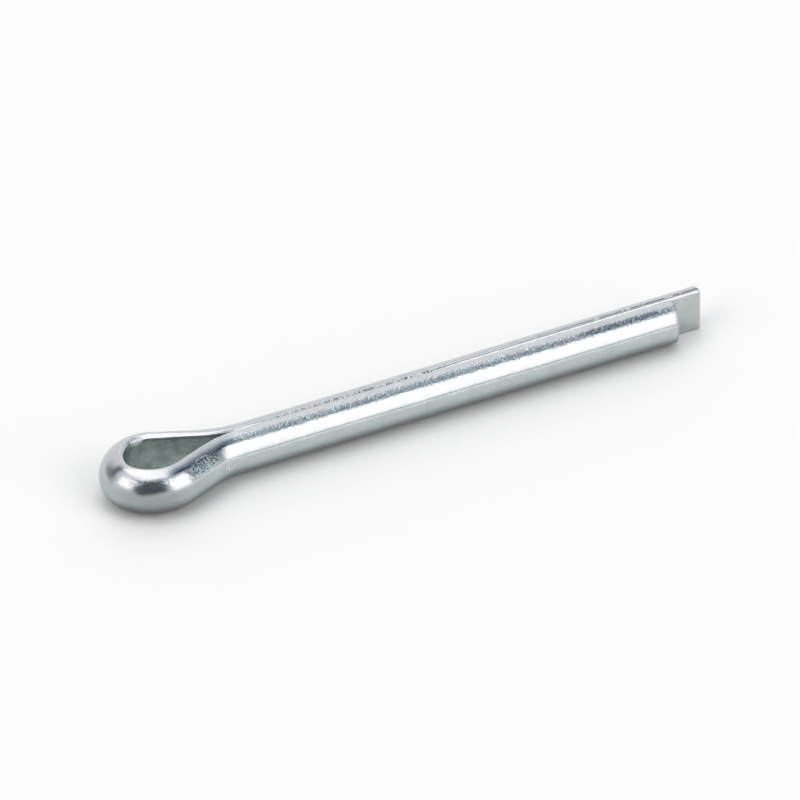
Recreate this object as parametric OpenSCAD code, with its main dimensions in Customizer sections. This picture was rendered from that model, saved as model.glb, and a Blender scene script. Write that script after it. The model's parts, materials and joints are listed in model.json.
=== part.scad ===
// Split cotter pin, folded from one length of half-round steel wire.
// Millimetres. X runs along the shank towards the leg tips, Y across the split, Z up.
// The origin is on the shank's axis, where the eye has closed onto the two legs.

/* [Wire] */
// Radius of the wire's round side, and so of the closed shank
wire_r = 2.9; // [2.8:0.05:3.1]
// Clear slot between the two flat sides when the round sides share one axis
slot = 0.16; // [0.1:0.02:0.4]
// Rounding of the two long edges beside the flat side
edge_r = 0.2; // [0.12:0.02:0.4]

/* [Eye] */
// Inner radius of the nose, the tightest part of the bend
nose_r = 2.4; // [2.2:0.1:3]
// Turn of the nose to each side of the centre line, in degrees
nose_turn = 33; // [24:1:40]
// Inner radius of the two shoulders
shoulder_r = 3.95; // [3.7:0.05:4.5]
// Slope of the two straight sides that run in towards the shank, in degrees
side_slope = 21.5; // [18:0.5:25]
// Radius of the flat sides where they bend back into line with the shank
throat_r = 17.6; // [12:0.2:18]

/* [Legs] */
// Length of the short leg, from the origin to its tip
short_leg = 55.8; // [30:0.2:90]
// How much further the long leg reaches
tip_step = 4; // [2:0.1:6]
// Rounding of the rim at each leg's cut end
rim_r = 0.4; // [0.2:0.05:0.6]

/* [Hidden] */
$fn = 64;

zinc = [0.78, 0.79, 0.81];
half_slot = slot / 2;

// Every second stretch of wire is this much slimmer all round, and runs on into its neighbours
slim = 0.01;
run_on = 0.12;

// Half height of the flat side with its edges: the round side's own height a little way out from it
edge_seat = 1.25 * edge_r;
edge_z = sqrt(pow(wire_r, 2) - pow(half_slot + edge_seat, 2));

// The eye's bends, each known by its centre and by the flat side's radius about it
nose_end = 180 - nose_turn;
side_normal = 90 - side_slope;
shoulder_y = (nose_r - shoulder_r) * sin(nose_turn);
side_start_y = shoulder_y + shoulder_r * cos(side_slope);
throat_drop = throat_r * (1 - cos(side_slope));
side_length = (side_start_y - half_slot - throat_drop) / sin(side_slope);
side_start_x = -throat_r * sin(side_slope) - side_length * cos(side_slope);
shoulder_x = side_start_x - shoulder_r * sin(side_slope);
nose_x = shoulder_x + (nose_r - shoulder_r) * cos(nose_turn);

// Half-round section. Its flat side lies on x = 0 and its round side looks towards +X.
module wire_section(inset = 0) {
    flat_z = edge_z - edge_r;
    intersection() {
        translate([-half_slot, 0]) circle(r = wire_r - inset);
        union() {
            translate([edge_r, inset - edge_z]) square([wire_r, 2 * (edge_z - inset)]);
            translate([inset, -flat_z]) square([wire_r, 2 * flat_z]);
            for (z = [-flat_z, flat_z]) translate([edge_r, z]) circle(r = edge_r - inset);
        }
    }
}

// Wire bent around the Z axis with its flat side inwards
module bend_in(flat_r, from, turn, inset = 0) {
    rotate([0, 0, from]) rotate_extrude(angle = turn) translate([flat_r, 0]) wire_section(inset);
}

// Wire bent around the Z axis with its flat side outwards
module bend_out(flat_r, from, turn, inset = 0) {
    rotate([0, 0, from]) rotate_extrude(angle = turn)
        translate([flat_r, 0]) mirror([1, 0]) wire_section(inset);
}

// Straight wire along +X, with its flat side on y = 0
module straight(length, inset = 0) {
    rotate([90, 0, 90]) linear_extrude(height = length) wire_section(inset);
}

// A round bar along +X whose far rim is rounded
module rounded_bar(radius, length) {
    rotate([0, 90, 0]) rotate_extrude() {
        square([radius - rim_r, length]);
        square([radius, length - rim_r]);
        translate([radius - rim_r, length - rim_r]) circle(r = rim_r);
    }
}

// A leg on the +Y side of the split, with its rounded tip
module leg(length) {
    tip = 2 * rim_r;
    translate([0, half_slot, 0]) {
        straight(length - tip);
        translate([length - tip - run_on, 0, 0]) intersection() {
            straight(tip + run_on, slim);
            translate([0, -half_slot, 0]) rounded_bar(wire_r - slim / 2, tip + run_on);
        }
    }
}

// One side of the eye, from the nose to the shank, on the +Y side
module eye_side() {
    shoulder_over = run_on / shoulder_r * 180 / PI;
    shoulder_turn = nose_end - side_normal + 2 * shoulder_over;
    throat_over = run_on / throat_r * 180 / PI;
    translate([shoulder_x, shoulder_y, 0])
        bend_in(shoulder_r, side_normal - shoulder_over, shoulder_turn, slim);
    translate([side_start_x, side_start_y, 0]) rotate([0, 0, -side_slope]) straight(side_length);
    translate([0, half_slot + throat_r, 0])
        bend_out(throat_r, 270 - side_slope - throat_over, side_slope + 2 * throat_over, slim);
}

module cotter_pin() {
    color(zinc) {
        translate([nose_x, 0, 0]) bend_in(nose_r, nose_end, 2 * nose_turn);
        eye_side();
        leg(short_leg + tip_step);
        mirror([0, 1, 0]) {
            eye_side();
            leg(short_leg);
        }
    }
}

cotter_pin();
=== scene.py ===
import json
import math

import bmesh
import bpy
import numpy as np
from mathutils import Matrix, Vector, noise


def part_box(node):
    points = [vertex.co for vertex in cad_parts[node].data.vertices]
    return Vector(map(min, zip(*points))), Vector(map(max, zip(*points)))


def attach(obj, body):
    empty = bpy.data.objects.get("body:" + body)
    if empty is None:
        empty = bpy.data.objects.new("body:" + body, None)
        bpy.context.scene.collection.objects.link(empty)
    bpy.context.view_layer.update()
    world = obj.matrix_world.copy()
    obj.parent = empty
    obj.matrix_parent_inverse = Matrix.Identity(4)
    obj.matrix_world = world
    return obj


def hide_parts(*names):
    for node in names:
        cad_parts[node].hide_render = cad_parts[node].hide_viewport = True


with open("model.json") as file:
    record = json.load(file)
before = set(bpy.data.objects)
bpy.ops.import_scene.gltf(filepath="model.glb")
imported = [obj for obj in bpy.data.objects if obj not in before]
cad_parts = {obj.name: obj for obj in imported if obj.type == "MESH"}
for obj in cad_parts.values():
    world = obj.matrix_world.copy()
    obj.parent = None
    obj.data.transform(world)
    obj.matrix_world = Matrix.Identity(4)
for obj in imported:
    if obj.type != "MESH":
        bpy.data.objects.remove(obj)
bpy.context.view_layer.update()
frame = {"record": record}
nodeName = "cotter_pin"
mm = 0.001
lowCorner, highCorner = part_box(nodeName)
shank = next(m for m in frame["record"]["mounts"] if m["name"] == "shank")


# ---- the folded wire: one half-round section carried along its bends

wire = {
    "roundR": shank["dims"]["r_mm"],   # all lengths here are in mm, angles in degrees
    "halfSlot": 0.03,                  # from the shank's axis to each flat side
    "rimR": {"short": 0.4, "long": 0.3},   # rounding of the cut ends
    "tipStep": 4.0,                    # how much further the long leg reaches
    "noseR": 1.95,                     # tightest inner bend
    "bendEase": 0.5,                   # each bend fades into the next over this length
    # hand bent, so the two sides differ a little; leans: depth and the cut's slant there
    "sides": {
        "short": {"sign": -1, "noseTurn": 38, "shoulderR": 4.45, "slope": 21.3, "throatR": 9.5,
                  "leans": [(0, 0.6), (1.8, 0.38), (2.87, -0.06)]},
        "long": {"sign": 1, "noseTurn": 1, "shoulderR": 3.43, "slope": 22.5, "throatR": 18.0,
                 "leans": [(0, 0.2), (2.87, 0.4)]},
    },
    # worn bevel on the upper edge of the flat side, long leg first: place along the wire,
    # width, tilt and how softly it meets the round side
    "bevels": [(-46, 0.22, 51, 0.10), (-41, 0.12, 40, 0.03), (-36, 0.14, 27, 0.01),
               (-24, 0.14, 30, 0.01), (-18, 0.24, 42, 0.03), (-14, 0.36, 32, 0.03),
               (-12, 0.44, 27, 0.04), (-8, 0.60, 27, 0.05), (-5, 0.66, 27, 0.06),
               (-1, 0.30, 27, 0.03), (4, 0.16, 27, 0.02)],
    "corner": 0.06,                    # where the flat side turns into the bevel
    "lowerEdge": 0.20,                 # rounding of the flat side's lower edge
    "leastEdge": 0.04,
    "leanLength": 3.0,                 # the cut's slant fades in over this length
    "longDip": 0.05,                   # the long leg bows in towards the other
    "dipWaves": 1.6,                   # half waves of that bow if it went on to the tip
    "longSplay": 0.10,                 # and stands off it at the tip
    "eyeSwell": 0.06,                  # bending squeezes the inner edges upwards by this share
    "eyeReach": 10.0,                  # along the wire from the nose
    "eyeFade": 5.0,
    "step": 0.22,                      # spacing of the sections
    "walkStep": 0.01,                  # spacing of the points each side is walked in
    "ringCounts": {"flat": 14, "corner": 3, "bevel": 10, "round": 44, "edge": 6},
    "bevelReach": (1.2, 3.5),          # how many widths and blends the bevel's points span
    "rimSteps": 7,
    "capShares": (0.8, 0.55, 0.3),     # rings that close each cut end, down to its middle
    "burr": {"from": -5.9, "to": -3.9, "height": 0.26, "size": 0.22, "step": 0.06, "above": 1.9,
             "depth": 0.5, "gap": 0.05, "rise": 0.3, "fadeRate": 3, "innerFade": 0.3},
}


def easeIn(t):
    t = np.clip(t, 0, 1)
    return t * t * (3 - 2 * t)


def sectionRing(spec, bevel, inset):
    # (depth from the flat side, height) for each point of the section
    r, short = spec["roundR"] - inset, spec["halfSlot"]
    f = max(spec["lowerEdge"] - inset, spec["leastEdge"])
    counts, corner = spec["ringCounts"], spec["corner"]
    width, tilt, blend = bevel
    slope = math.tan(math.radians(tilt))
    foot = math.sqrt(r ** 2 - (width + short) ** 2) - width * slope

    def upperEdge(u):
        # the lower of the round side and the bevel, softly joined
        gap = math.sqrt(r ** 2 - (u + short) ** 2) - (foot + u * slope)
        return foot + u * slope - blend * np.logaddexp(0, -gap / blend)

    edgeDown = math.sqrt((r - f) ** 2 - (short + f) ** 2)
    cornerTop = upperEdge(0)
    low, high = -edgeDown, cornerTop - corner
    ring = [(0.0, low + (high - low) * k / counts["flat"]) for k in range(counts["flat"])]
    for k in range(counts["corner"]):
        t = k / counts["corner"]
        height = high * (1 - t) ** 2 + 2 * cornerTop * t * (1 - t) + upperEdge(corner) * t ** 2
        ring.append((corner * t ** 2, height))
    reach = spec["bevelReach"][0] * width + spec["bevelReach"][1] * blend
    for k in range(counts["bevel"]):
        u = corner + (reach - corner) * k / counts["bevel"]
        ring.append((u, upperEdge(u)))
    startAngle = math.atan2(upperEdge(reach), reach + short)
    endAngle = -math.atan2(edgeDown, short + f)
    for k in range(counts["round"]):
        a = startAngle + (endAngle - startAngle) * k / counts["round"]
        ring.append((r * math.cos(a) - short, r * math.sin(a)))
    for k in range(counts["edge"]):
        a = endAngle - (math.pi + endAngle) * k / counts["edge"]
        ring.append((f + f * math.cos(a), f * math.sin(a) - edgeDown))
    return np.array(ring)


def sideRoute(spec, side, noseX, tipX):
    # the flat side's line from the middle of the nose to one leg's tip: x, y and heading
    r1, r2, r3 = spec["noseR"], side["shoulderR"], side["throatR"]
    slope = side["slope"]
    turns = [side["noseTurn"], 90 + slope - side["noseTurn"], 0, -slope]
    arcs = [r1, r2, None, r3]
    fine = spec["walkStep"]

    def walk(straight, legLength):
        pieces = []
        for turn, arc in zip(turns, arcs):
            length = straight if arc is None else math.radians(abs(turn)) * arc
            bend = 0.0 if arc is None else math.copysign(1 / arc, turn)
            pieces.append(np.full(max(1, round(length / fine)), bend))
        pieces.append(np.zeros(max(1, round(legLength / fine))))
        bend = np.concatenate(pieces)
        pad = round(spec["bendEase"] / fine)
        padded = np.concatenate([np.full(pad, bend[0]), bend, np.zeros(pad)])
        kernel = np.hanning(2 * pad + 1)
        bend = np.convolve(padded, kernel / kernel.sum(), "same")[pad:-pad]
        heading = np.concatenate([[0], np.cumsum(bend) * fine])
        heading *= math.radians(90) / heading[-1]
        middle = (heading[1:] + heading[:-1]) / 2
        x = np.concatenate([[0], np.cumsum(np.sin(middle)) * fine]) + noseX
        y = np.concatenate([[0], np.cumsum(np.cos(middle)) * fine])
        return x, y, heading

    straight, leg = 4.0, 50.0       # first guesses, put right from where the walk ends
    for _ in range(4):
        x, y, heading = walk(straight, leg)
        straight += (y[-1] - spec["halfSlot"]) / math.sin(math.radians(slope))
        leg += tipX - x[-1]
    return x, y * side["sign"], heading


def wireStations(spec):
    # sections from the long leg's tip round the eye to the short leg's tip
    thickness = spec["roundR"] - spec["halfSlot"]
    noseX = lowCorner.x / mm + thickness
    longTip = highCorner.x / mm
    tips = {"long": longTip, "short": longTip - spec["tipStep"]}
    runs = {}
    for name, side in spec["sides"].items():
        x, y, heading = sideRoute(spec, side, noseX, tips[name] - spec["rimR"][name])
        normal = np.stack([-np.cos(heading), side["sign"] * np.sin(heading)], axis=1)
        along = np.concatenate([[0], np.cumsum(np.hypot(np.diff(x), np.diff(y)))])
        if name == "long":
            t = np.clip(x / longTip, 0, 1)
            dip = spec["longDip"] * np.sin(np.pi * np.clip(t * spec["dipWaves"], 0, 1))
            y = y - dip + spec["longSplay"] * t ** 3
        count = round(along[-1] / spec["step"])
        at = np.linspace(0, along[-1], count + 1)
        if name == "long":
            burr = spec["burr"]
            at = np.union1d(at, np.arange(-burr["to"], -burr["from"], burr["step"]))
        pick = lambda v: np.interp(at, along, v)
        runs[name] = (at, pick(x), pick(y), pick(normal[:, 0]), pick(normal[:, 1]))
    far, near = runs["long"], runs["short"]
    joined = [np.concatenate([a[::-1], b[1:]]) for a, b in zip(far, near)]
    joined[0] = np.concatenate([-far[0][::-1], near[0][1:]])
    return np.stack(joined, axis=1)   # along (0 at the nose), x, y, normal x, normal y


def raiseBurr(spec, along, u, v):
    # a torn, crumbly lip on the long side's upper inner edge
    burr = spec["burr"]
    if not burr["from"] < along < burr["to"]:
        return u, v
    middle, half = (burr["from"] + burr["to"]) / 2, (burr["to"] - burr["from"]) / 2
    fade = easeIn((1 - abs(along - middle) / half) * burr["fadeRate"])
    for k in np.flatnonzero((v > burr["above"]) & (u < burr["depth"])):
        crumb = max(0, noise.noise(Vector((along, u[k], v[k])) / burr["size"]) - burr["gap"])
        lift = burr["height"] * fade * crumb * easeIn((burr["depth"] - u[k]) / burr["innerFade"])
        u[k] -= lift
        v[k] += lift * burr["rise"]
    return u, v


def buildWire(spec):
    stations = wireStations(spec)
    first, last = stations[0], stations[-1]

    def rimRows(station, rim):
        # (station, forward shift, inset) from the side of the wire round to its cut face
        angles = [math.pi / 2 * k / spec["rimSteps"] for k in range(1, spec["rimSteps"] + 1)]
        return [(station, rim * math.sin(a), rim * (1 - math.cos(a))) for a in angles]

    rows = rimRows(first, spec["rimR"]["long"])[::-1] + [(station, 0.0, 0.0) for station in stations]
    rows += rimRows(last, spec["rimR"]["short"])
    thickness = spec["roundR"] - spec["halfSlot"]
    places, *shapes = zip(*spec["bevels"])
    points, straight = [], []
    for station, shift, inset in rows:
        along, x, y, nx, ny = station
        side = spec["sides"]["long" if along < 0 else "short"]
        ring = sectionRing(spec, [np.interp(along, places, shape) for shape in shapes], inset)
        u, v = ring[:, 0], ring[:, 1]
        swellEnd = spec["eyeReach"] + spec["eyeFade"]
        swell = spec["eyeSwell"] * easeIn((swellEnd - abs(along)) / spec["eyeFade"])
        v = np.where(v > 0, v * (1 + swell * (1 - u / thickness)), v)
        u, v = raiseBurr(spec, along, u, v)
        left = abs(first[0] if along < 0 else last[0]) - abs(along)
        lean = shift + np.interp(u, *zip(*side["leans"])) * easeIn(1 - left / spec["leanLength"])
        points.append(np.stack([x + lean + nx * u, y + ny * u, v], axis=1))
        straight.append(np.stack([along + math.copysign(1, along) * lean, u, v], axis=1))
    points, straight = np.array(points), np.array(straight)
    rowCount, ringCount = points.shape[:2]

    mesh = bmesh.new()
    verts = [mesh.verts.new(p * mm) for p in points.reshape(-1, 3)]
    for i in range(rowCount - 1):
        for j in range(ringCount):
            k = (j + 1) % ringCount
            a, b = i * ringCount, (i + 1) * ringCount
            mesh.faces.new((verts[a + j], verts[a + k], verts[b + k], verts[b + j]))
    spaces = list(straight.reshape(-1, 3))
    for row, flip in ((0, False), (rowCount - 1, True)):
        loop = verts[row * ringCount:(row + 1) * ringCount]
        centre, spaceCentre = points[row].mean(axis=0), straight[row].mean(axis=0)
        for share in spec["capShares"]:
            inner = []
            for j in range(ringCount):
                p = centre + (points[row][j] - centre) * share
                inner.append(mesh.verts.new(p * mm))
                spaces.append(spaceCentre + (straight[row][j] - spaceCentre) * share)
            for j in range(ringCount):
                k = (j + 1) % ringCount
                quad = (loop[j], loop[k], inner[k], inner[j])
                face = mesh.faces.new(quad if flip else quad[::-1])
                face.material_index = 1
            loop = inner
        hub = mesh.verts.new(centre * mm)
        spaces.append(spaceCentre)
        for j in range(ringCount):
            k = (j + 1) % ringCount
            tri = (loop[j], loop[k], hub)
            mesh.faces.new(tri if flip else tri[::-1]).material_index = 1
    bmesh.ops.recalc_face_normals(mesh, faces=mesh.faces)
    for face in mesh.faces:
        face.smooth = True
    data = bpy.data.meshes.new("foldedWire")
    mesh.to_mesh(data)
    mesh.free()
    held = data.attributes.new("straightWire", "FLOAT_VECTOR", "POINT")
    held.data.foreach_set("vector", np.array(spaces, np.float32).ravel())
    piece = bpy.data.objects.new("foldedWire", data)
    bpy.context.scene.collection.objects.link(piece)
    return piece


foldedWire = buildWire(wire)
print("wire built:", len(foldedWire.data.polygons), "faces")


# ---- finishes: every length is in mm, along (s), into (u) and up (v) the unbent wire

def addNode(tree, kind, inputs=None, **settings):
    made = tree.nodes.new("ShaderNode" + kind)
    for name, value in settings.items():
        setattr(made, name, value)
    for key, value in (inputs or {}).items():
        if isinstance(value, bpy.types.NodeSocket):
            tree.links.new(value, made.inputs[key])
        else:
            made.inputs[key].default_value = value
    return made


def calc(tree, operation, *values):
    return addNode(tree, "Math", dict(enumerate(values)), operation=operation).outputs[0]


def vectorCalc(tree, operation, *values):
    made = addNode(tree, "VectorMath", dict(enumerate(values)), operation=operation)
    return made.outputs["Value" if operation in ("LENGTH", "DOT_PRODUCT", "DISTANCE") else "Vector"]


def joined(tree, operation, values):
    # any number of values, joined in turn by one operation
    total = values[0]
    for value in values[1:]:
        total = calc(tree, operation, total, value)
    return total


def ramp(tree, value, low, high, toLow=0.0, toHigh=1.0):
    return addNode(tree, "MapRange", {0: value, 1: low, 2: high, 3: toLow, 4: toHigh},
                   interpolation_type="SMOOTHSTEP").outputs[0]


def mixColor(tree, share, a, b):
    return addNode(tree, "Mix", {0: share, 6: a, 7: b}, data_type="RGBA").outputs[2]


def scaled(tree, vector, factor):
    # a colour or a place, times one number
    return addNode(tree, "VectorMath", {0: vector, "Scale": factor}, operation="SCALE").outputs[0]


def mixValue(tree, share, a, b):
    return addNode(tree, "Mix", {0: share, 2: a, 3: b}, data_type="FLOAT").outputs[0]


def noiseAt(tree, place, stretch, detail=2.0, roughness=0.5, shift=0.0):
    moved = vectorCalc(tree, "MULTIPLY_ADD", place, stretch, (shift, shift * 0.7, -shift))
    return addNode(tree, "TexNoise", {"Vector": moved, "Scale": 1.0, "Detail": detail,
                                      "Roughness": roughness}).outputs[0]


def newGroup(name, inputs, outputs):
    group = bpy.data.node_groups.new(name, "ShaderNodeTree")
    for label, kind, value in inputs:
        socket = group.interface.new_socket(label, in_out="INPUT", socket_type="NodeSocket" + kind)
        socket.default_value = value
    for label, kind in outputs:
        group.interface.new_socket(label, in_out="OUTPUT", socket_type="NodeSocket" + kind)
    return group, group.nodes.new("NodeGroupInput").outputs, group.nodes.new("NodeGroupOutput").inputs


def useGroup(tree, group, **inputs):
    return addNode(tree, "Group", inputs, node_tree=group).outputs


def makePlatingGrain():
    # the orange peel of bright zinc: small round grains over slower swells
    group, given, out = newGroup("platingGrain", [
        ("Place", "Vector", (0, 0, 0)), ("Grain", "Float", 0.5), ("Height", "Float", 0.03)],
        [("Height", "Float"), ("Tone", "Float")])
    finer = scaled(group, given["Place"], calc(group, "DIVIDE", 1.0, given["Grain"]))
    grains = noiseAt(group, finer, (1.1, 0.9, 0.9), 2.0, 0.6)
    swells = noiseAt(group, finer, (0.25, 0.4, 0.4), 1.0, 0.5, 7.3)
    both = calc(group, "MULTIPLY_ADD", swells, 0.7, grains)
    group.links.new(calc(group, "MULTIPLY", both, given["Height"]), out["Height"])
    group.links.new(ramp(group, grains, 0.35, 0.65), out["Tone"])
    return group


def makeDrawnLines():
    # fine lines the drawing die leaves along the wire
    group, given, out = newGroup("drawnLines", [
        ("Place", "Vector", (0, 0, 0)), ("Height", "Float", 0.001)], [("Height", "Float")])
    coarse = noiseAt(group, given["Place"], (0.05, 5.0, 5.0), 3.0, 0.6)
    group.links.new(calc(group, "MULTIPLY", coarse, given["Height"]), out["Height"])
    return group


def makePitScatter():
    # small pits, each in its own cell, in a share of the cells
    group, given, out = newGroup("pitScatter", [
        ("Place", "Vector", (0, 0, 0)), ("Spacing", "Float", 0.5), ("Share", "Float", 0.2),
        ("Depth", "Float", 0.02)], [("Height", "Float")])
    finer = scaled(group, given["Place"], calc(group, "DIVIDE", 1.0, given["Spacing"]))
    cells = addNode(group, "TexVoronoi", {"Vector": finer, "Scale": 1.0})
    draw = addNode(group, "SeparateColor", {0: cells.outputs["Color"]}).outputs[0]
    chosen = calc(group, "LESS_THAN", draw, given["Share"])
    mask = calc(group, "MULTIPLY", ramp(group, cells.outputs["Distance"], 0.42, 0.18), chosen)
    sunk = calc(group, "MULTIPLY", mask, given["Depth"])
    group.links.new(calc(group, "MULTIPLY", sunk, -1.0), out["Height"])
    return group


def makePatch():
    # a ragged oval area
    group, given, out = newGroup("patch", [
        ("Place", "Vector", (0, 0, 0)), ("Centre", "Vector", (0, 0, 0)), ("Size", "Vector", (1, 1, 1)),
        ("Rag", "Float", 0.3), ("Torn", "Float", 0.0)], [("Mask", "Float")])
    offset = vectorCalc(group, "SUBTRACT", given["Place"], given["Centre"])
    offset = vectorCalc(group, "DIVIDE", offset, given["Size"])
    reach = calc(group, "MULTIPLY_ADD", given["Torn"], given["Rag"], vectorCalc(group, "LENGTH", offset))
    group.links.new(ramp(group, reach, 1.15, 0.75), out["Mask"])
    return group


def makeScratch():
    # a straight mark from one point to another
    group, given, out = newGroup("scratch", [
        ("Place", "Vector", (0, 0, 0)), ("From", "Vector", (0, 0, 0)), ("To", "Vector", (1, 0, 0)),
        ("Width", "Float", 0.1)], [("Mask", "Float")])
    run = vectorCalc(group, "SUBTRACT", given["To"], given["From"])
    here = vectorCalc(group, "SUBTRACT", given["Place"], given["From"])
    share = addNode(group, "Math", {0: vectorCalc(group, "DOT_PRODUCT", here, run),
                                    1: vectorCalc(group, "DOT_PRODUCT", run, run)},
                    operation="DIVIDE", use_clamp=True).outputs[0]
    apart = vectorCalc(group, "DISTANCE", here, scaled(group, run, share))
    group.links.new(ramp(group, calc(group, "DIVIDE", apart, given["Width"]), 1.0, 0.3), out["Mask"])
    return group


platingGrain, drawnLines, pitScatter = makePlatingGrain(), makeDrawnLines(), makePitScatter()
patch, scratch = makePatch(), makeScratch()


def newMaterial(name):
    material = bpy.data.materials.new(name)
    material.use_nodes = True
    tree = material.node_tree
    tree.nodes.clear()
    shader = addNode(tree, "BsdfPrincipled")
    addNode(tree, "OutputMaterial", {"Surface": shader.outputs["BSDF"]})
    return material, tree, shader


def addRelief(tree, shader, heights):
    height = joined(tree, "ADD", heights)
    bump = addNode(tree, "Bump", {"Height": height, "Distance": mm, "Strength": 1.0})
    tree.links.new(bump.outputs["Normal"], shader.inputs["Normal"])


def makeCornerDashes():
    # dark dashes and light flecks strung along one corner of the wire; near the long tip it draws a
    # painted dark reflection line
    group, given, out = newGroup("cornerDashes", [
        ("Place", "Vector", (0, 0, 0)), ("Out", "Float", 0.25), ("Reach", "Float", 0.2),
        ("Length", "Float", 1.0), ("Share", "Float", 0.5)], [("Mask", "Float"), ("Bright", "Float")])
    axes = addNode(group, "SeparateXYZ", {0: given["Place"]}).outputs
    away = calc(group, "ABSOLUTE", calc(group, "SUBTRACT", axes[1], given["Out"]))
    away = calc(group, "DIVIDE", away, given["Reach"])
    upper = ramp(group, axes[2], 1.9, 2.2)
    band = calc(group, "MULTIPLY", ramp(group, away, 1.0, 0.5), upper)
    finer = scaled(group, given["Place"], calc(group, "DIVIDE", 1.0, given["Length"]))
    broken = noiseAt(group, finer, (1.0, 0.5, 0.5), 3.0, 0.6)
    low = calc(group, "MULTIPLY_ADD", given["Share"], -0.4, 0.7)
    torn = ramp(group, calc(group, "SUBTRACT", broken, low), -0.02, 0.05)
    group.links.new(calc(group, "MULTIPLY", torn, band), out["Mask"])
    chips = ramp(group, noiseAt(group, finer, (1.2, 0.8, 0.8), 1.0, 0.5, 5.7), 0.56, 0.66)
    group.links.new(calc(group, "MULTIPLY", chips, band), out["Bright"])
    return group


cornerDashes = makeCornerDashes()

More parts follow.
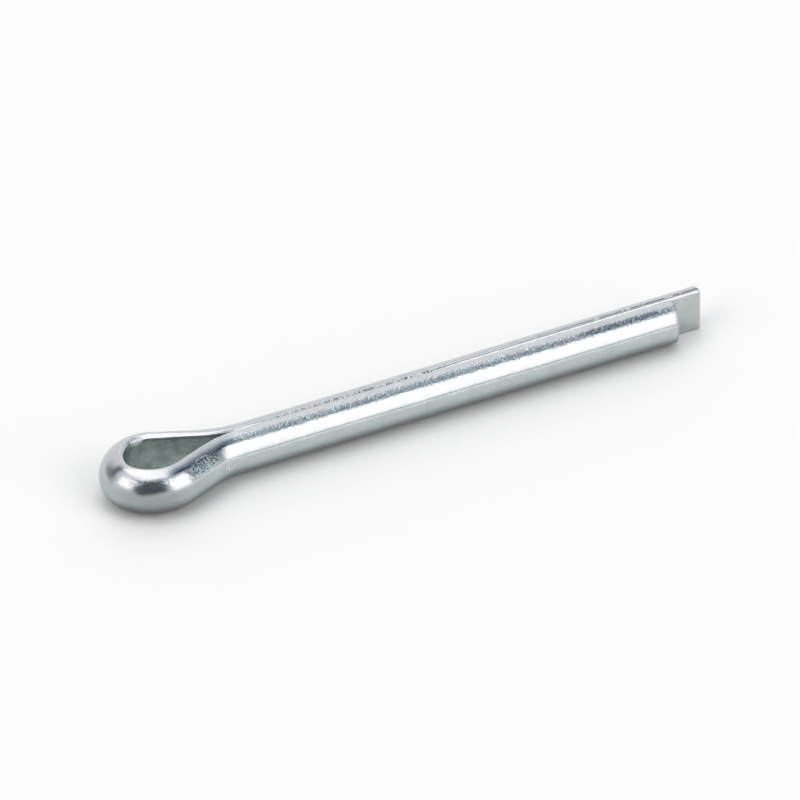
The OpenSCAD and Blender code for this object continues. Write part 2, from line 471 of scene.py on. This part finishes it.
zinc = {
    # painted reflection tint: greener and a little darker below, lavender and a little lighter above
    "lower": (0.485, 0.546, 0.548, 1),
    "upper": (0.538, 0.550, 0.571, 1),
    "flat": (0.50, 0.55, 0.53, 1),
    # painted shade inside the eye and at the nose's inner bend, and painted light at the throat
    "eyeInsidePaintedShade": (0.44, 0.51, 0.495, 1),
    "throatPaintedLight": (0.64, 0.70, 0.68, 1),
    "noseInsidePaintedShade": (0.33, 0.44, 0.47, 1),
    "beltTint": (0.965, 1.01, 1.005),
    # a dull, grainy patch; its dark colour is partly a painted dark reflection
    "dullPaintedDark": (0.20, 0.27, 0.29, 1),
    # painted dark reflection: colour of the dark bands along the upper edge
    "paintedDarkBand": (0.17, 0.21, 0.28, 1),
    # dark colour of the marks, also used for the painted dark reflection line at the long tip
    "dirtAndPaintedLine": (0.07, 0.075, 0.085, 1),
    # light colour of fresh chips, also used for the painted glints and the crumbs' painted highlight
    "chipAndGlint": (0.85, 0.87, 0.88, 1),
    # painted shade: the underside and the eye's outer face are darkened in their colour
    "paintedUnderShade": 0.5,              # how much of its brightness the underside keeps
    "eyeOutsidePaintedShade": 0.7,             # and the eye's outer face
    "mottle": 0.05,                # share by which the tone wanders
    "eyeMottle": 3.0,              # how many times more it does inside the eye
    "speckle": 0.27,
    "rough": 0.18,
    "roughSpread": 0.05,
    "flatRough": 0.34,             # the inner faces, rubbed together
    "rimRough": 0.42,              # the short leg's worn rim
    "chipAndGlintRough": 0.5,
    "chipAndGlintChalk": 0.8,              # fresh chips, the painted glints and the crumbs' painted highlight scatter light like chalk
    "grain": 0.27,
    "grainHeight": 0.016,
    "lineHeight": 0.0012,
    "markDepth": 0.015,
    "beltPits": {"Spacing": 0.30, "Share": 0.22, "Depth": 0.016},
    "manyPits": {"Spacing": 0.26, "Share": 0.55, "Depth": 0.06},
    "grooveDashes": {"Out": 0.17, "Reach": 0.20, "Length": 0.36, "Share": 0.50},
    # painted dark reflection line along the long tip's upper corner
    "tipLine": {"Out": 0.47, "Reach": 0.18, "Length": 1.2, "Share": 0.72},
    # how much of the grain's height each zone shows
    "grainShares": {"plain": 0.12, "crown": 0.25, "belt": 0.7, "dullPaintedDark": 2.5, "mottled": 0.4},
    # how strongly specks of lighter and darker tone show
    "speckShares": {"dullPaintedDark": 1.6, "darkBanded": 1.3, "pitted": 1.8, "farTop": 0.3, "edgeLine": 0.45},
    "brightShares": {"streaks": 0.35, "chips": 0.6, "pitted": 0.8, "dullPaintedDark": 0.45},
    # how strongly the marks show, and the painted shade, painted sheen and painted dark bands
    "markAndPaintedLightShares": {"dullPaintedDark": 0.85, "darkBanded": 0.6, "faint": 0.32, "dirtAndPaintedLine": 0.8, "dots": 0.9,
                   "paintedSheen": 0.1, "eyeSides": 0.4, "noseFront": 0.6},
    # noise: stretch along each axis, detail, roughness and shift
    "noises": {
        "torn": ((1.3, 1.3, 1.3), 3.0, 0.6),
        "fleck": ((5.5, 5.5, 5.5), 1.0, 0.5, 4.4),
        "grit": ((5.5, 4.5, 4.5), 2.0, 0.6, 9.7),
        "fineGrit": ((8.0, 7.5, 7.5), 1.0, 0.5, 6.1),
        "swing": ((0.18, 0.3, 0.3), 1.0),
        "wobble": ((0.12, 0.0, 0.0), 0.0),
        "blotches": ((0.7, 0.9, 0.9), 4.0, 0.6, 3.1),
    },
    # the limits a noise is cut between, and its values there where they aren't 0 and 1
    "cuts": {
        "crumbsAndHighlight": (0.12, 0.19),
        "sparkle": (0.46, 0.56),
        "glint": (0.58, 0.66),
        "dots": (0.47, 0.40),
        "swing": (0.3, 0.7, 0.8, 1.25),
        "blotches": (0.3, 0.7, -1.0, 1.0),
        "specks": (0.35, 0.65, -1.0, 1.0),
    },
    # axis (s, u, v, or away from the nose along either leg), where the zone starts to show and
    # where it shows in full
    "zones": {
        "flatSide": ("u", 0.06, 0.01),
        "underCorner": ("v", 2.5, 2.2),
        "roundSide": ("u", 0.1, 0.5),
        "crown": ("v", 1.6, 2.2),
        # painted reflection tint: the lower tone turns to the upper one over this height
        "upperTone": ("v", -0.5, 2.3),
        "paintedUnderShade": ("v", 0.1, -1.9),
        "beltTop": ("u", 0.7, 1.05),
        "beltFoot": ("u", 2.0, 1.6),
        "beltStart": ("s", 12.0, 16.0),
        "beltWear": ("s", 15.0, 24.0, 0.55, 1.0),
        "lineStart": ("s", 13.0, 17.0),
        "shortRim": ("s", 72.5, 73.1),
        "eye": ("away", 19.0, 15.0),
        "eyeSides": ("away", 13.0, 7.0),
        "throat": ("away", 7.0, 13.0),
        "mottleTop": ("u", 1.5, 1.8),
        "outerFace": ("u", 1.2, 2.0),
        "outerLow": ("v", 1.7, 0.9),
        "farLeg": ("s", -19.0, -23.0),
        "farTip": ("s", -42.5, -45.5),
        "dashedStretch": ("s", -24.0, -33.0, 0.55, 1.0),
        # painted dark reflection line, growing towards the long tip
        "paintedTipLine": ("s", -50.0, -72.0, 0.1, 1.0),
    },
    "noseFront": (3.5, 3.2, 1.4),      # middle along the wire, half length faded and full
    "noseInner": (-1.6, 3.2, 1.4),
    "edgeLine": (1.0, 0.3, 0.12),      # the same upwards, where the bright band ends
    # painted reflection lines, a lighter and a darker one, where the bright band ends
    "paintedReflectionLines": [(0.90, 0.17, 0.15), (1.11, 0.10, -0.22)],   # height, half width and strength
    "reflectionLineWobble": 0.08,
    "reflectionLineSharpness": 0.2,               # the middle share of a line that shows in full
    "dullPits": 0.4,                   # how much the dull patch shares of the pitted one's pits
    "crumbFleck": 0.5,                 # how much the flecks break up the crumbs
    # marks and patches, some wear and some painted light: their places were worked out by another
    # program, so some aren't round
    # centre, half sizes and raggedness
    # dull patch: real grainy plating, painted darker as a painted dark reflection
    "dullPatch": ((9.2, 1.85, 2.1), (2.5, 0.85, 0.8), 1.0),
    "pitPatch": ((13.3, 2.8, 0.1), (1.0, 0.5, 0.75), 0.8),
    # crumbs on the burr, real crumbs with a painted highlight
    "crumbsAndHighlight": ((-4.9, 0.1, 2.5), (0.95, 0.35, 0.38), 0.5),
    # painted sheen: a patch of lighter colour on the upper edge
    "paintedSheen": ((15.8, 1.4, 2.5), (2.4, 0.9, 0.7), 0.5),
    # from, to and width
    # painted dark reflection bands along the upper edge
    "paintedDarkBands": [((6.0, 1.2, 2.72), (9.0, 1.45, 2.57), 0.30),
                ((9.0, 1.45, 2.57), (13.6, 1.5, 2.46), 0.20),
                ((61.0, 1.2, 2.62), (70.6, 1.2, 2.62), 0.50)],
    "scratches": [((47.6, 1.23, 2.61), (49.3, 1.66, 2.35), 0.07)],
    "faintLines": [((39.92, 2.76, 0.79), (39.87, 2.87, -0.16), 0.12),
                   ((39.87, 2.87, -0.16), (40.0, 2.55, -1.31), 0.12)],
    "brightStreaks": [((28.74, 0.47, 2.86), (28.32, 1.33, 2.56), 0.10),
                      ((30.78, 0.58, 2.83), (30.48, 1.45, 2.49), 0.09),
                      ((25.15, 0.59, 2.83), (24.85, 1.21, 2.62), 0.09),
                      ((40.1, 2.6, -1.3), (40.3, 2.45, -1.5), 0.16)],
}


def zincPlate():
    material, tree, shader = newMaterial("zincPlate")
    place = addNode(tree, "Attribute", attribute_name="straightWire").outputs["Vector"]
    s, u, v = addNode(tree, "SeparateXYZ", {0: place}).outputs
    axes = {"s": s, "u": u, "v": v, "away": calc(tree, "ABSOLUTE", s)}
    shown = zinc["markAndPaintedLightShares"]

    def zone(name):
        axis, *limits = zinc["zones"][name]
        return ramp(tree, axes[axis], *limits)

    def near(value, middle, faded, full):
        apart = calc(tree, "ABSOLUTE", calc(tree, "SUBTRACT", value, middle))
        return ramp(tree, apart, faded, full)

    def times(*values):
        return joined(tree, "MULTIPLY", values)

    def timesPlus(value, share, base):
        return calc(tree, "MULTIPLY_ADD", value, share, base)

    def largest(*values):
        return joined(tree, "MAXIMUM", values)

    def strokes(name):
        return largest(*[useGroup(tree, scratch, Place=place, From=a, To=b, Width=width)[0]
                         for a, b, width in zinc[name]])

    def noiseNamed(name):
        return noiseAt(tree, place, *zinc["noises"][name])

    def cut(name, value):
        return ramp(tree, value, *zinc["cuts"][name])

    torn = calc(tree, "SUBTRACT", noiseNamed("torn"), 0.5)
    fleck, grit = noiseNamed("fleck"), noiseNamed("grit")

    def area(name):
        centre, size, rag = zinc[name]
        return useGroup(tree, patch, Place=place, Centre=centre, Size=size, Rag=rag, Torn=torn)[0]

    # where things are
    flat = times(zone("flatSide"), zone("underCorner"))
    crown = zone("crown")
    belt = times(zone("beltTop"), zone("beltFoot"), crown, zone("beltStart"))
    worn, onLeg = times(belt, zone("beltWear")), zone("lineStart")
    edgeLine = times(near(v, *zinc["edgeLine"]), onLeg)
    inEye, farLeg, farTip = zone("eye"), zone("farLeg"), zone("farTip")
    noseFront = near(s, *zinc["noseFront"])
    mottled = times(noseFront, crown, zone("mottleTop"))
    dullPaintedDark, pitted, darkBanded = area("dullPatch"), area("pitPatch"), strokes("paintedDarkBands")
    grit = mixValue(tree, pitted, grit, noiseNamed("fineGrit"))
    marks = largest(strokes("scratches"), times(strokes("faintLines"), shown["faint"]))
    grooveDashes = useGroup(tree, cornerDashes, Place=place, **zinc["grooveDashes"])
    tipLine = useGroup(tree, cornerDashes, Place=place, **zinc["tipLine"])
    dashedStretch = times(zone("dashedStretch"), farLeg)
    # painted dark reflection line along the long tip's corner
    paintedTipLine = times(tipLine["Mask"], zone("paintedTipLine"))
    cornerDark = mixValue(tree, farTip, times(grooveDashes["Mask"], dashedStretch), paintedTipLine)

    share = zinc["brightShares"]
    chips = times(grooveDashes["Bright"], dashedStretch, timesPlus(farTip, -share["chips"], share["chips"]))
    # the burr's crumbs: real crumbs, painted light as their highlight
    crumbsAndHighlight = times(area("crumbsAndHighlight"), cut("crumbsAndHighlight", timesPlus(fleck, zinc["crumbFleck"], torn)))
    # painted glints: white specks in the pitted and dull patches
    sparkle = times(cut("sparkle", grit), pitted, share["pitted"])
    glint = times(cut("glint", fleck), dullPaintedDark, share["dullPaintedDark"])
    streaks = times(strokes("brightStreaks"), share["streaks"])
    bright = largest(streaks, chips, crumbsAndHighlight, sparkle, glint)

    # relief
    grain = useGroup(tree, platingGrain, Place=place, Grain=zinc["grain"], Height=zinc["grainHeight"])
    lines = useGroup(tree, drawnLines, Place=place, Height=zinc["lineHeight"])
    beltPits = useGroup(tree, pitScatter, Place=place, **zinc["beltPits"])
    manyPits = useGroup(tree, pitScatter, Place=place, **zinc["manyPits"])
    swing = cut("swing", noiseNamed("swing"))
    share = zinc["grainShares"]
    strength = timesPlus(crown, share["crown"], share["plain"])
    strength = times(timesPlus(worn, share["belt"], strength), swing)
    strength = timesPlus(dullPaintedDark, share["dullPaintedDark"], strength)
    strength = timesPlus(largest(mottled, darkBanded), share["mottled"], strength)
    heights = [times(grain["Height"], strength), lines["Height"], times(beltPits["Height"], worn),
               times(manyPits["Height"], timesPlus(dullPaintedDark, zinc["dullPits"], pitted)),
               times(marks, -zinc["markDepth"])]
    addRelief(tree, shader, heights)

    # colour
    # painted reflection tint: greener below, lavender above
    color = mixColor(tree, zone("upperTone"), zinc["lower"], zinc["upper"])
    # painted shade inside the eye and at the nose, painted light towards the throat
    inside = mixColor(tree, zone("throat"), zinc["eyeInsidePaintedShade"], zinc["throatPaintedLight"])
    inside = mixColor(tree, near(s, *zinc["noseInner"]), inside, zinc["noseInsidePaintedShade"])
    color = mixColor(tree, flat, color, mixColor(tree, inEye, zinc["flat"], inside))
    # painted shade: the round side's colour darkens towards the bottom
    underShade = times(zone("paintedUnderShade"), zone("roundSide"))
    color = scaled(tree, color, timesPlus(underShade, zinc["paintedUnderShade"] - 1, 1.0))
    # painted shade: the eye's outer face, at the nose and along its sides, is darkened
    outerPaintedShade = timesPlus(noseFront, shown["noseFront"], times(zone("eyeSides"), shown["eyeSides"]))
    outerPaintedShade = times(outerPaintedShade, zone("outerFace"), zone("outerLow"))
    color = scaled(tree, color, timesPlus(outerPaintedShade, zinc["eyeOutsidePaintedShade"] - 1, 1.0))
    color = mixColor(tree, belt, color, vectorCalc(tree, "MULTIPLY", color, zinc["beltTint"]))
    # painted reflection lines along the leg, a lighter and a darker one
    wobble = timesPlus(noiseNamed("wobble"), -2 * zinc["reflectionLineWobble"], zinc["reflectionLineWobble"])
    for height, half, strength in zinc["paintedReflectionLines"]:
        core = half * zinc["reflectionLineSharpness"]
        line = times(near(calc(tree, "ADD", v, wobble), height, half, core), onLeg)
        color = scaled(tree, color, timesPlus(line, strength, 1.0))
    # painted sheen: the colour is lightened in one patch
    color = scaled(tree, color, timesPlus(area("paintedSheen"), shown["paintedSheen"], 1.0))
    # the dull patch: real grain, with a colour partly a painted dark reflection
    color = mixColor(tree, times(dullPaintedDark, shown["dullPaintedDark"]), color, zinc["dullPaintedDark"])
    # painted dark reflection bands along the upper edge
    color = mixColor(tree, times(darkBanded, shown["darkBanded"]), color, zinc["paintedDarkBand"])
    blotches = cut("blotches", noiseNamed("blotches"))
    wander = timesPlus(times(flat, inEye), zinc["eyeMottle"] * zinc["mottle"], zinc["mottle"])
    wander = timesPlus(blotches, wander, 1.0)
    specks = cut("specks", grit)
    share = zinc["speckShares"]
    speckled = largest(worn, mottled, times(dullPaintedDark, share["dullPaintedDark"]), times(darkBanded, share["darkBanded"]),
                       times(pitted, share["pitted"]), times(farLeg, crown, share["farTop"]),
                       times(edgeLine, share["edgeLine"]))
    specks = times(specks, speckled, zinc["speckle"])
    color = scaled(tree, color, calc(tree, "ADD", wander, specks))
    dots = times(cut("dots", grit), darkBanded, shown["dots"])
    # dark colour for scratches, dots and corner dashes, and the painted dark reflection line at the tip
    color = mixColor(tree, times(largest(marks, cornerDark, dots), shown["dirtAndPaintedLine"]), color, zinc["dirtAndPaintedLine"])
    color = mixColor(tree, bright, color, zinc["chipAndGlint"])
    tree.links.new(color, shader.inputs["Base Color"])

    # gloss
    rough = timesPlus(grain["Tone"], zinc["roughSpread"], zinc["rough"] - zinc["roughSpread"] / 2)
    rough = timesPlus(flat, zinc["flatRough"] - zinc["rough"], rough)
    rough = timesPlus(zone("shortRim"), zinc["rimRough"] - zinc["rough"], rough)
    rough = mixValue(tree, bright, rough, zinc["chipAndGlintRough"])
    tree.links.new(rough, shader.inputs["Roughness"])
    tree.links.new(timesPlus(bright, -zinc["chipAndGlintChalk"], 1.0), shader.inputs["Metallic"])
    return material


cutSteel = {
    "cool": (0.48, 0.53, 0.54, 1),
    "grey": (0.38, 0.41, 0.42, 1),
    "rough": (0.28, 0.46),             # where the tear is deep, and where it is high
    "tear": ((1.0, 1.2, 6.0), 4.0, 0.65),
    "tearHeight": 0.05,
    "grain": {"Grain": 0.35, "Height": 0.05},
    "pits": {"Spacing": 0.5, "Share": 0.25, "Depth": 0.03},
}


def shearedEnd():
    # the wire's cut ends: plated too, over a torn grain
    material, tree, shader = newMaterial("shearedEnd")
    shader.inputs["Metallic"].default_value = 1.0
    place = addNode(tree, "Attribute", attribute_name="straightWire").outputs["Vector"]
    grain = useGroup(tree, platingGrain, Place=place, **cutSteel["grain"])
    tear = noiseAt(tree, place, *cutSteel["tear"])
    torn = calc(tree, "MULTIPLY", tear, cutSteel["tearHeight"])
    pits = useGroup(tree, pitScatter, Place=place, **cutSteel["pits"])
    addRelief(tree, shader, [grain["Height"], torn, pits["Height"]])
    color = mixColor(tree, grain["Tone"], cutSteel["grey"], cutSteel["cool"])
    tree.links.new(color, shader.inputs["Base Color"])
    rough = ramp(tree, tear, 0.3, 0.7, *cutSteel["rough"])
    tree.links.new(rough, shader.inputs["Roughness"])
    return material


foldedWire.data.materials.append(zincPlate())
foldedWire.data.materials.append(shearedEnd())
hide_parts(nodeName)
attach(foldedWire, "root")
print("finishes ready")


# ---- floor, light and camera

studio = {
    "floorSize": 6.0,
    "floorColor": (1.0, 0.99, 0.98),
    "floorRough": 0.9,
    "azimuth": -26.3,
    "elevation": 37.4,
    "lens": 1000.0,
    "sensor": 36.0,
    "clipEnd": 20.0,        # past the floor, in m
    "viewWidth": 94.1,      # what the picture spans at the pin, in mm
    "aimRight": -0.34,      # small shifts of the aim, in mm
    "aimUp": -0.10,
}


def buildFloor():
    half = studio["floorSize"] / 2
    mesh = bmesh.new()
    corners = ((-1, -1), (1, -1), (1, 1), (-1, 1))
    mesh.faces.new([mesh.verts.new((x * half, y * half, lowCorner.z)) for x, y in corners])
    data = bpy.data.meshes.new("floor")
    mesh.to_mesh(data)
    mesh.free()
    floor = bpy.data.objects.new("floor", data)
    bpy.context.scene.collection.objects.link(floor)
    material, tree, shader = newMaterial("floorPaper")
    shader.inputs["Base Color"].default_value = (*studio["floorColor"], 1)
    shader.inputs["Roughness"].default_value = studio["floorRough"]
    data.materials.append(material)


def buildCamera():
    az, el = math.radians(studio["azimuth"]), math.radians(studio["elevation"])
    back = Vector((math.sin(az) * math.cos(el), -math.cos(az) * math.cos(el), math.sin(el)))
    data = bpy.data.cameras.new("camera")
    data.lens = studio["lens"]
    data.sensor_width = studio["sensor"]
    data.clip_end = studio["clipEnd"]
    camera = bpy.data.objects.new("camera", data)
    bpy.context.scene.collection.objects.link(camera)
    turn = (-back).to_track_quat("-Z", "Y")
    right, up = turn @ Vector((1, 0, 0)), turn @ Vector((0, 1, 0))
    aim = (lowCorner + highCorner) / 2 + (right * studio["aimRight"] + up * studio["aimUp"]) * mm
    distance = studio["viewWidth"] * mm * data.lens / data.sensor_width
    camera.location = aim + back * distance
    camera.rotation_mode = "QUATERNION"
    camera.rotation_quaternion = turn
    bpy.context.scene.camera = camera


# soft panels and dark gaps of a light tent: azimuth (from -Y towards +X), elevation, roll,
# half width, half height and edge softness in degrees, and colour. Apart from ledge and frame,
# they were found by a fitting program, rounded, and then adjusted
tent = {
    "horizon": (0.90, 0.90, 0.88),
    "high": (0.94, 1.04, 1.09),
    "behind": (0.99, 1.00, 1.01),
    "highRamp": (0.0, 0.7),      # share of the way up over which horizon turns to high
    "behindRamp": (-0.2, 0.6),   # and of the way back over which that turns to behind
    "panels": {
        "lowLeft": (-136, 17, 12, 21, 15.5, 15, (0.32, 0.33, 0.32)),
        "cameraGap": (-29.2, 40, 19, 30.2, 31, 8.4, (0.095, 0.12, 0.135)),
        "rightGap": (76, 38.5, -6, 19, 36, 14, (0.10, 0.15, 0.21)),
        "backGap": (-142.5, 40, 35, 8, 22, 7, (0.175, 0.16, 0.215)),
        "leftPanel": (-80, 41, -3, 17.4, 17.6, 6.7, (2.03, 1.95, 1.90)),
        "topPanel": (180, 82, -5, 18.3, 23, 2.9, (1.83, 1.81, 1.83)),
        "rightPanel": (38, 32, -8, 18.5, 25.8, 4.1, (2.00, 1.95, 1.92)),
        "backStrip": (155, 40, 0, 3, 14.5, 12, (1.45, 1.56, 1.45)),
        "topGap": (-55, 50, -18, 4, 10.4, 5, (0.45, 0.49, 0.54)),
        "ledge": (38, 1.6, 0, 45, 2.6, 1.3, (1.42, 1.40, 1.38)),
        "frame": (38, 6.3, 0, 40, 1.5, 1.0, (0.70, 0.72, 0.74)),
    },
}


def makeSoftPanel():
    group, given, out = newGroup("softPanel", [
        ("Direction", "Vector", (0, 0, 0)), ("Centre", "Vector", (0, 0, 1)),
        ("Across", "Vector", (1, 0, 0)), ("Upward", "Vector", (0, 1, 0)),
        ("Half Width", "Float", 0.2), ("Half Height", "Float", 0.2), ("Edge", "Float", 0.1)],
        [("Mask", "Float")])
    ahead = vectorCalc(group, "DOT_PRODUCT", given["Direction"], given["Centre"])
    masks = []
    for side, half in (("Across", "Half Width"), ("Upward", "Half Height")):
        aside = vectorCalc(group, "DOT_PRODUCT", given["Direction"], given[side])
        angle = calc(group, "ARCTAN2", calc(group, "ABSOLUTE", aside), ahead)
        masks.append(ramp(group, angle, calc(group, "ADD", given[half], given["Edge"]),
                          calc(group, "SUBTRACT", given[half], given["Edge"])))
    group.links.new(calc(group, "MULTIPLY", masks[0], masks[1]), out["Mask"])
    return group


def buildLight():
    world = bpy.data.worlds.new("tent")
    bpy.context.scene.world = world
    world.use_nodes = True
    tree = world.node_tree
    background = tree.nodes["Background"]
    direction = addNode(tree, "TexCoord").outputs["Generated"]
    axes = addNode(tree, "SeparateXYZ", {0: direction}).outputs
    aloft, behind = ramp(tree, axes[2], *tent["highRamp"]), ramp(tree, axes[1], *tent["behindRamp"])
    color = mixColor(tree, aloft, (*tent["horizon"], 1), (*tent["high"], 1))
    color = mixColor(tree, behind, color, (*tent["behind"], 1))
    softPanel = makeSoftPanel()
    for azimuth, elevation, roll, width, height, edge, tone in tent["panels"].values():
        a, e, r = (math.radians(v) for v in (azimuth, elevation, roll))
        centre = Vector((math.sin(a) * math.cos(e), -math.cos(a) * math.cos(e), math.sin(e)))
        level = Vector((math.cos(a), math.sin(a), 0))
        rise = centre.cross(level)
        rise = -rise if rise.z < 0 else rise
        across = level * math.cos(r) + rise * math.sin(r)
        upward = rise * math.cos(r) - level * math.sin(r)
        sizes = {"Half Width": math.radians(width), "Half Height": math.radians(height)}
        mask = useGroup(tree, softPanel, Direction=direction, Centre=centre, Across=across,
                        Upward=upward, Edge=math.radians(edge), **sizes)["Mask"]
        color = mixColor(tree, mask, color, (*tone, 1))
    tree.links.new(color, background.inputs["Color"])


buildFloor()
buildCamera()
buildLight()
bpy.context.scene.view_settings.view_transform = "Standard"
print("studio ready")
